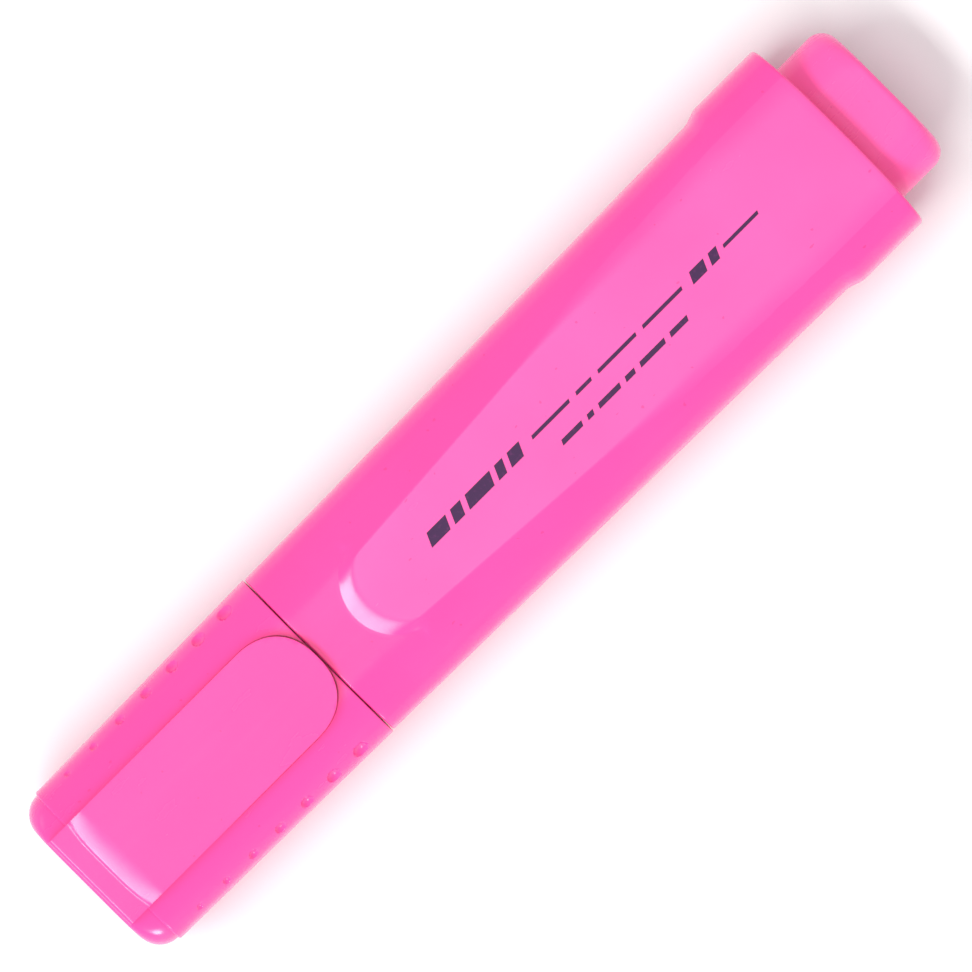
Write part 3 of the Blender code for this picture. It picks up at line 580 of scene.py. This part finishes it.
def clip_top(x, y):
    """Height of the clip's upper face: a flat root, a short lip and ramp, and a slightly crowned plate."""
    s = x - CAP_END_X
    start = CLIP_RAMP_START + CLIP_RAMP_BOW * (y / CLIP_HALF) ** 4
    t = min(1.0, max(0.0, (s - start) / (CLIP_RAMP_END - start)))
    lip = CLIP_LIP_RISE * smooth(t / CLIP_LIP_SHARE)
    climbed = lip + (1 - lip) * (1 - (1 - t) ** CLIP_RAMP_POWER)
    crown = CLIP_CROWN * (y / CLIP_HALF) ** 2
    rounded = edge_drop(x - CLIP_LOW.x, CLIP_ROOT_EDGE)
    return CLIP_HIGH.z - CLIP_RAMP_RISE * (1 - climbed) - crown - rounded


def make_clip():
    under = CLIP_HIGH.z - CLIP_THICKNESS
    clip = clip_solid("clip_plate", 0.0, under, CLIP_HIGH.z)
    build = bmesh.new()
    build.from_mesh(clip.data)
    cuts = [CLIP_LOW.x + CLIP_FINE_STEP * i for i in range(1, CLIP_FINE_CUTS + 1)]
    cuts += between(cuts[-1], CLIP_HIGH.x - CLIP_EDGE, CLIP_COARSE_CUTS)
    planes = [((x, 0, 0), (1, 0, 0)) for x in cuts]
    for i in range(1 - CLIP_CROSS_CUTS, CLIP_CROSS_CUTS):
        planes.append(((0, CLIP_HALF * i / CLIP_CROSS_CUTS, 0), (0, 1, 0)))
    for point, normal in planes:
        geometry = build.verts[:] + build.edges[:] + build.faces[:]
        bmesh.ops.bisect_plane(build, geom=geometry, plane_co=point, plane_no=normal)
    for v in build.verts:
        x, y, z = v.co
        if z > under + 0.5 * CLIP_THICKNESS:
            v.co.z = clip_top(x, y)
        else:
            share = min(1.0, max(0.0, 1 - (x - CAP_END_X - CLIP_ROOT_LENGTH) / CLIP_ROOT_SLOPE))
            v.co.z = under + (CLIP_LOW.z - CLIP_ROOT_SINK - under) * share
    build.to_mesh(clip.data)
    build.free()
    bevel = clip.modifiers.new("edges", "BEVEL")
    bevel.width = CLIP_EDGE
    bevel.segments = 4
    bevel.limit_method = "ANGLE"
    bevel.angle_limit = math.radians(50)
    apply_modifiers(clip)
    clip.data.shade_smooth()
    clip.data.set_sharp_from_angle(angle=math.radians(40))
    return clip


# ---------------------------------------------------------------- plug
def make_plug():
    end_x, flange_x = PLUG_HIGH.x, RIM_X - PLUG_SET_IN
    flange = (PLUG_HIGH.y, RIM_HALF_HEIGHT - RIM_WALL - CAVITY_CLEARANCE)
    block = tuple(h - CAVITY_CLEARANCE for h in cavity_half(CAP_MOUTH_X - PLUG_STANDOUT))
    rings = []
    for round_, inward in quarter_turn(14):
        x = end_x - PLUG_CORNER * round_
        high = block[1] - edge_drop(end_x - x, PLUG_EDGE)
        rings.append(oval_ring(x, block[0] - PLUG_CORNER * inward, high))
    for x in between(end_x - PLUG_CORNER, flange_x + PLUG_FILLET, 6):
        rings.append(oval_ring(x, *block))
    for outward, back in quarter_turn(5, 1):
        rings.append(oval_ring(flange_x + PLUG_FILLET * back, *(h + PLUG_FILLET * outward for h in block)))
    inner_flange, inner_block = (tuple(h - PLUG_WALL for h in halves) for halves in (flange, block))
    rings.append(oval_ring(flange_x, *(h - PLUG_CHAMFER for h in flange)))
    rings.append(oval_ring(flange_x - PLUG_CHAMFER, *flange))
    rings.append(oval_ring(PLUG_LOW.x, *flange))
    rings.append(oval_ring(PLUG_LOW.x, *inner_flange))
    rings.append(oval_ring(flange_x - PLUG_FLANGE, *inner_flange))
    rings.append(oval_ring(flange_x - PLUG_FLANGE, *inner_block))
    rings.append(oval_ring(end_x - PLUG_END_WALL, block[0] - PLUG_CORNER, inner_block[1]))
    return skin("end_plug", rings)


# ---------------------------------------------------------------- nib and holder
def rounded_ring(x_of, half_width, half_height, radius):
    """A ring round a bar with rounded corners, whose x is x_of(y)."""
    flat, bend = 20, 34
    side = QUARTER_FLAT + QUARTER_SIDE + 1 - flat - bend
    turn = np.linspace(0, math.pi / 2, bend)
    y = np.concatenate([
        np.linspace(0, half_width - radius, flat, endpoint=False),
        half_width - radius + radius * np.sin(turn),
        np.full(side, half_width),
    ])
    z = np.concatenate([
        np.full(flat, half_height),
        half_height - radius + radius * np.cos(turn),
        np.linspace(half_height - radius, 0, side + 1)[1:],
    ])
    ring = full_ring(0.0, y, z)
    ring[:, 0] = x_of(ring[:, 1])
    return ring


def nib_front(y):
    """Where the chisel edge stands at y: cut on a slant across the nib."""
    return NIB_LOW.x + (y + NIB_HIGH.y) / math.tan(NIB_BEVEL)


def make_nib():
    wide, high = NIB_HIGH.y, NIB_HIGH.z - AXIS_Z
    straight_x = NIB_LOW.x + NIB_WEDGE + 2 * wide / math.tan(NIB_BEVEL)
    rings = []
    for round_, inward in quarter_turn(6):
        back, inset = NIB_SOFTNESS * round_, NIB_SOFTNESS * inward
        half = NIB_EDGE_THICKNESS / 2 - inset
        rings.append(
            rounded_ring(lambda y, b=back: nib_front(y) + b, wide - inset, half, half * NIB_ROUNDING)
        )
    first = rings[-1][:, 0].copy()
    for share in between(0, 1, 14):
        half = NIB_EDGE_THICKNESS / 2 + (high - NIB_EDGE_THICKNESS / 2) * min(1.0, share * NIB_STEEPNESS)
        ring = rounded_ring(lambda y: 0 * y, wide, half, min(half * NIB_ROUNDING, NIB_CORNER))
        ring[:, 0] = first + (straight_x - first) * share
        rings.append(ring)
    for x in between(straight_x, NIB_HIGH.x, 12):
        rings.append(rounded_ring(lambda y, x=x: x + 0 * y, wide, high, NIB_CORNER))
    return skin("felt_nib", rings)


def make_holder():
    """Stem, round-edged flange, waisted cone, sealing land and soft mouth, slotted for the nib."""
    stem = [h - NECK_WALL - CAVITY_CLEARANCE for h in neck_half(NECK_FRONT_X)]
    flange_end = NECK_FRONT_X - CAVITY_CLEARANCE
    flange_x = flange_end - HOLDER_FLANGE
    flange = [h - HOLDER_FLANGE_INSET for h in neck_half(flange_x)]
    foot = (flange[0] - HOLDER_FOOT_INSET, max(flange[1] - HOLDER_FOOT_INSET, HOLDER_LAND_RADIUS))
    mouth_x = HOLDER_LOW.x + HOLDER_MOUTH
    land_x = mouth_x + HOLDER_LAND
    rings = [oval_ring(HOLDER_HIGH.x, *stem), oval_ring(flange_end, *stem)]
    for i in range(9):
        turn = math.pi * i / 8
        x = flange_end - (flange_end - flange_x) * (1 - math.cos(turn)) / 2
        rings.append(oval_ring(x, *(h - HOLDER_EDGE * (1 - math.sin(turn)) for h in flange)))
    rings.append(oval_ring(flange_x, *foot))
    for share in between(0, 1, 16):
        waist = share**HOLDER_WAIST_POWER
        halves = [f + (HOLDER_LAND_RADIUS - f) * waist for f in foot]
        rings.append(oval_ring(flange_x + (land_x - flange_x) * share, *halves))
    rings.append(oval_ring(mouth_x + HOLDER_EDGE, HOLDER_LAND_RADIUS, HOLDER_LAND_RADIUS))
    for inward, back in quarter_turn(6, 1):
        r = HOLDER_LAND_RADIUS - (HOLDER_LAND_RADIUS - HOLDER_MOUTH_RADIUS) * inward
        rings.append(oval_ring(mouth_x - (mouth_x - HOLDER_LOW.x - HOLDER_EDGE) * (1 - back), r, r))
    for inward, back in quarter_turn(5, 1):
        r = HOLDER_MOUTH_RADIUS - HOLDER_EDGE * inward
        rings.append(oval_ring(HOLDER_LOW.x + HOLDER_EDGE * back, r, r))
    slot = [NIB_HIGH.y + CAVITY_CLEARANCE / 2, NIB_HIGH.z - AXIS_Z + CAVITY_CLEARANCE / 2, NIB_CORNER]
    for x in (HOLDER_LOW.x, HOLDER_HIGH.x):
        rings.append(rounded_ring(lambda y, x=x: x + 0 * y, *slot))
    return skin("nib_collar", rings, loop=True)


# ---------------------------------------------------------------- print
def panel_top(x):
    return AXIS_Z + float(panel_half_height(x))


def print_stroke(build, start, end, middle, height):
    """One thin printed bar with the slanted ends of a chisel stroke, laid on the label panel."""
    lean = height * STROKE_LEAN
    count = 12
    rows = []
    for i in range(count + 1):
        for y, shift in ((middle - height / 2, -lean / 2), (middle + height / 2, lean / 2)):
            x = start + (end - start) * i / count + shift
            top = panel_top(x) - float(panel_crown(x, y))
            rows.append([build.verts.new((x, y, top + z)) for z in (-PRINT_SUNK, PRINT_PROUD)])
    for a, b, c, d in zip(rows[::2], rows[1::2], rows[2::2], rows[3::2]):
        for first, second in ((b, d), (c, a)):
            build.faces.new((first[0], second[0], second[1], first[1]))
        build.faces.new((a[1], b[1], d[1], c[1]))
        build.faces.new((a[0], c[0], d[0], b[0]))
    for low, high in ((rows[0], rows[1]), (rows[-2], rows[-1])):
        build.faces.new((low[0], high[0], high[1], low[1]))


def make_print():
    """Rows of plain strokes, from broad to fine, in place of wording."""
    build = bmesh.new()
    for middle, height, strokes in PRINT_ROWS:
        for start, end in strokes:
            print_stroke(build, start * MM, end * MM, middle * MM, height * MM)
    bmesh.ops.recalc_face_normals(build, faces=build.faces)
    mesh = bpy.data.meshes.new("print_strokes")
    build.to_mesh(mesh)
    build.free()
    return place("print_strokes", mesh)


# ---------------------------------------------------------------- materials
class Finish:
    """A node material built step by step on a Principled shader, with noise-driven colour and relief."""

    def __init__(self, name, colour, roughness):
        self.made = bpy.data.materials.new(name)
        self.made.use_nodes = True
        self.nodes, self.links = self.made.node_tree.nodes, self.made.node_tree.links
        self.shader = self.nodes["Principled BSDF"]
        self.shader.inputs["Base Color"].default_value = (*colour, 1)
        self.shader.inputs["Roughness"].default_value = roughness
        self.place = self.nodes.new("ShaderNodeTexCoord").outputs["Object"]
        self.height = None

    def noise(self, scale, detail=2.0, stretch=(1, 1, 1), rough=0.5):
        """A noise value in 0 to 1; scale is in waves per metre, and stretch divides it by axis."""
        mapping = self.nodes.new("ShaderNodeMapping")
        mapping.inputs["Scale"].default_value = [scale / v for v in stretch]
        texture = self.nodes.new("ShaderNodeTexNoise")
        texture.inputs["Scale"].default_value = 1.0
        texture.inputs["Detail"].default_value = detail
        texture.inputs["Roughness"].default_value = rough
        self.links.new(self.place, mapping.inputs["Vector"])
        self.links.new(mapping.outputs["Vector"], texture.inputs["Vector"])
        return texture.outputs["Fac"]

    def ramp(self, value, low, high, start=0.0, end=1.0):
        """Maps value's low..high to start..end, held at both ends."""
        step = self.nodes.new("ShaderNodeMapRange")
        for name, number in (("From Min", low), ("From Max", high), ("To Min", start), ("To Max", end)):
            step.inputs[name].default_value = number
        self.links.new(value, step.inputs["Value"])
        return step.outputs["Result"]

    def scaled(self, value, factor):
        step = self.nodes.new("ShaderNodeMath")
        step.operation = "MULTIPLY"
        step.inputs[1].default_value = factor
        self.links.new(value, step.inputs[0])
        return step.outputs["Value"]

    def tint(self, value, colour):
        """Mixes colour over what the shader's base colour has so far, by value."""
        base = self.shader.inputs["Base Color"]
        mix = self.nodes.new("ShaderNodeMix")
        mix.data_type = "RGBA"
        if base.is_linked:
            self.links.new(base.links[0].from_socket, mix.inputs["A"])
        else:
            mix.inputs["A"].default_value = base.default_value[:]
        mix.inputs["B"].default_value = (*colour, 1)
        self.links.new(value, mix.inputs["Factor"])
        self.links.new(mix.outputs["Result"], base)

    def roughen(self, value):
        self.links.new(value, self.shader.inputs["Roughness"])

    def bump(self, value, depth):
        """Adds relief of the given depth in metres."""
        step = self.nodes.new("ShaderNodeBump")
        step.inputs["Strength"].default_value = 1.0
        step.inputs["Distance"].default_value = depth
        self.links.new(value, step.inputs["Height"])
        if self.height:
            self.links.new(self.height, step.inputs["Normal"])
        self.height = step.outputs["Normal"]
        self.links.new(self.height, self.shader.inputs["Normal"])


def shift(colour, factor):
    return tuple(min(1.0, c * f) for c, f in zip(colour, factor))


def moulded_pink(name, stretch=(1, 1, 1), gloss=0.21, colour=PINK, panel=False):
    """Glossy fluorescent polypropylene: cloudy pigment, faint flow marks, rubbed gloss and fine dust."""
    finish = Finish(name, colour, gloss)
    # painted sheen: the label panels are tinted a lighter pink
    if panel:
        mark = finish.nodes.new("ShaderNodeAttribute")
        mark.attribute_name = "panel_sheen_share"
        finish.tint(mark.outputs["Fac"], PANEL_SHEEN_PINK)
    cloud = finish.ramp(finish.noise(70, 3, stretch), 0.35, 0.75, 0, 0.55)
    finish.tint(finish.scaled(cloud, 0.4), shift(colour, (1, 0.6, 0.8)))
    flow = finish.noise(900, 2, (14, 1, 1))
    finish.tint(finish.ramp(flow, 0.55, 0.8, 0, 0.10), shift(colour, (1, 1.5, 1.1)))
    speck = finish.noise(1500, 0)
    finish.tint(finish.ramp(speck, 0.835, 0.85, 0, 0.5), shift(colour, (0.72, 0.5, 0.6)))
    rub = finish.noise(260, 4, (3, 1, 1), 0.6)
    finish.roughen(finish.ramp(rub, 0.35, 0.75, gloss - 0.035, gloss + 0.075))
    finish.bump(finish.noise(160, 2), 0.010 * MM)
    finish.bump(finish.noise(5200, 1), 0.0003 * MM)
    return finish.made


def soaked_felt():
    finish = Finish("soaked_felt", (0.95, 0.045, 0.27), 0.85)
    fibre = finish.noise(2600, 3, (7, 1, 1), 0.65)
    finish.tint(finish.ramp(fibre, 0.3, 0.7, 0, 0.8), (0.98, 0.16, 0.42))
    finish.tint(finish.ramp(finish.noise(300, 2), 0.5, 0.8, 0, 0.5), (0.80, 0.02, 0.20))
    finish.roughen(finish.ramp(fibre, 0.3, 0.7, 0.75, 0.95))
    finish.bump(fibre, 0.06 * MM)
    finish.shader.inputs["Sheen Weight"].default_value = 0.3
    return finish.made


def fibre_core():
    finish = Finish("fibre_core", (0.97, 0.10, 0.38), 0.9)
    strand = finish.noise(3500, 3, (25, 1, 1), 0.6)
    finish.tint(finish.ramp(strand, 0.35, 0.65, 0, 0.7), (0.98, 0.30, 0.55))
    finish.roughen(finish.ramp(strand, 0.3, 0.7, 0.8, 0.95))
    finish.bump(strand, 0.05 * MM)
    return finish.made


def milky_plastic(name, colour, roughness):
    """Unpigmented polyethylene: slightly cloudy, waxy and finely matt."""
    finish = Finish(name, colour, roughness)
    finish.tint(finish.ramp(finish.noise(120, 3), 0.3, 0.75, 0, 0.6), shift(colour, (0.93, 0.92, 0.89)))
    finish.roughen(finish.ramp(finish.noise(700, 3), 0.3, 0.7, roughness - 0.06, roughness + 0.08))
    finish.bump(finish.noise(2400, 2), 0.003 * MM)
    return finish.made


def clear_film():
    finish = Finish("clear_film", (0.92, 0.86, 0.89), 0.18)
    finish.roughen(finish.ramp(finish.noise(300, 3, (4, 1, 1)), 0.3, 0.7, 0.12, 0.26))
    finish.bump(finish.noise(180, 3, (3, 1, 1)), 0.03 * MM)
    finish.shader.inputs["Alpha"].default_value = 0.45
    return finish.made


def print_ink():
    finish = Finish("print_ink", (0.045, 0.010, 0.060), 0.5)
    finish.shader.inputs["Specular IOR Level"].default_value = 0.3
    finish.tint(finish.ramp(finish.noise(2200, 3), 0.55, 0.75, 0, 0.45), (0.14, 0.02, 0.12))
    finish.roughen(finish.ramp(finish.noise(900, 2), 0.3, 0.7, 0.36, 0.52))
    finish.bump(finish.noise(4000, 2), 0.002 * MM)
    return finish.made


def dress(obj, body, slot, finish, *nodes):
    obj.data.materials.clear()
    obj.data.materials.append(finish)
    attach(obj, body)
    if nodes:
        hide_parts(*nodes)


def make_pieces():
    body_pink = moulded_pink("body_pink", panel=True)
    cap_pink = moulded_pink("cap_pink", (2, 1, 1), 0.23)
    dress(make_cap(), "cap", "cap_plastic", cap_pink, "cap_shell")
    dress(make_clip(), "clip", "cap_plastic", cap_pink, "cap_clip")
    barrel = make_barrel()
    mark_panel_sheen(barrel)
    dress(barrel, "barrel", "barrel_plastic", body_pink, "barrel")
    # painted sheen: the whole plug takes the panels' lighter pink
    plug_pink = moulded_pink("plug_pink", (1, 2, 1), 0.25, PANEL_SHEEN_PINK)
    dress(make_plug(), "barrel", "plug_plastic", plug_pink, "tail_plug")
    holder_pink = moulded_pink("holder_pink", (1, 1, 2), 0.34)
    dress(make_holder(), "barrel", "holder_plastic", holder_pink, "nib_holder")
    dress(make_nib(), "barrel", "nib_felt", soaked_felt(), "nib")
    dress(make_print(), "barrel", "print_ink", print_ink())


def mark_panel_sheen(barrel):
    """Stores on the barrel's points how much they belong to a label panel, above or below: the share of
    the panels' painted sheen.
    """
    points = np.empty(len(barrel.data.vertices) * 3)
    barrel.data.vertices.foreach_get("co", points)
    x, y, z = points.reshape(-1, 3).T
    softness = LABEL_CRISP + LABEL_SOFT * smooth((x - LABEL_END_X) / LABEL_FADE)
    across = np.clip(0.5 + (panel_half_width(x) - np.abs(y)) / (2 * softness), 0, 1)
    behind = np.clip(0.5 + (x - inner_arc(y)) / LABEL_NOSE, 0, 1)
    raised = np.abs(z - AXIS_Z) > FRONT_HALF_HEIGHT + PANEL_RISE / 3
    mark = barrel.data.attributes.new("panel_sheen_share", "FLOAT", "POINT")
    mark.data.foreach_set("value", across * behind * raised)


def finish_nodes():
    """Gives the CAD nodes that stay their own materials."""
    finishes = {
        "inner_cap": milky_plastic("inner_cap_milky", (0.86, 0.85, 0.81), 0.45),
        "reservoir_core": fibre_core(),
        "reservoir_film": clear_film(),
        "vent_tube": milky_plastic("tube_milky", (0.9, 0.9, 0.9), 0.3),
    }
    for node, finish in finishes.items():
        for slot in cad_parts[node].material_slots:
            slot.material = finish


# ---------------------------------------------------------------- stage
def make_floor():
    mesh = bpy.data.meshes.new("floor")
    corners = [(x * FLOOR_HALF, y * FLOOR_HALF, 0) for x, y in ((-1, -1), (1, -1), (1, 1), (-1, 1))]
    mesh.from_pydata(corners, [], [(0, 1, 2, 3)])
    floor = place("floor", mesh)
    finish = bpy.data.materials.new("floor_white")
    finish.use_nodes = True
    shader = finish.node_tree.nodes["Principled BSDF"]
    shader.inputs["Base Color"].default_value = (FLOOR_WHITE, FLOOR_WHITE, FLOOR_WHITE, 1)
    shader.inputs["Roughness"].default_value = 0.9
    mesh.materials.append(finish)


def area_light(name, azimuth, from_top, distance, across, along, radiance):
    """A softbox aimed at the object: azimuth degrees round from -X towards -Y, from_top off vertical."""
    turn, fall = math.radians(azimuth), math.radians(from_top)
    out = Vector((-math.sin(fall) * math.cos(turn), -math.sin(fall) * math.sin(turn), math.cos(fall)))
    data = bpy.data.lights.new(name, "AREA")
    data.shape = "RECTANGLE"
    data.size, data.size_y = across, along
    data.energy = radiance * math.pi * across * along
    light = place(name, data)
    light.location = out * distance
    back = light.location.normalized()
    level = Vector((0, 0, 1)).cross(back).normalized()
    light.rotation_euler = Matrix((level, back.cross(level), back)).transposed().to_euler()


def make_light():
    world = bpy.data.worlds.new("studio")
    world.use_nodes = True
    background = world.node_tree.nodes["Background"]
    background.inputs["Color"].default_value = (1, 1, 1, 1)
    background.inputs["Strength"].default_value = WORLD_STRENGTH
    bpy.context.scene.world = world
    for name, light in LIGHTS.items():
        area_light(name, *light)


def make_camera():
    data = bpy.data.cameras.new("camera")
    data.lens = CAMERA_LENS
    camera = place("camera", data)
    height = VIEW_WIDTH * data.lens / data.sensor_width
    camera.location = (*VIEW_CENTRE, AXIS_Z + height)
    camera.rotation_euler = (0, 0, VIEW_TURN)
    bpy.context.scene.camera = camera


make_floor()
make_light()
make_camera()
make_pieces()
finish_nodes()
bpy.context.scene.view_settings.view_transform = "Standard"
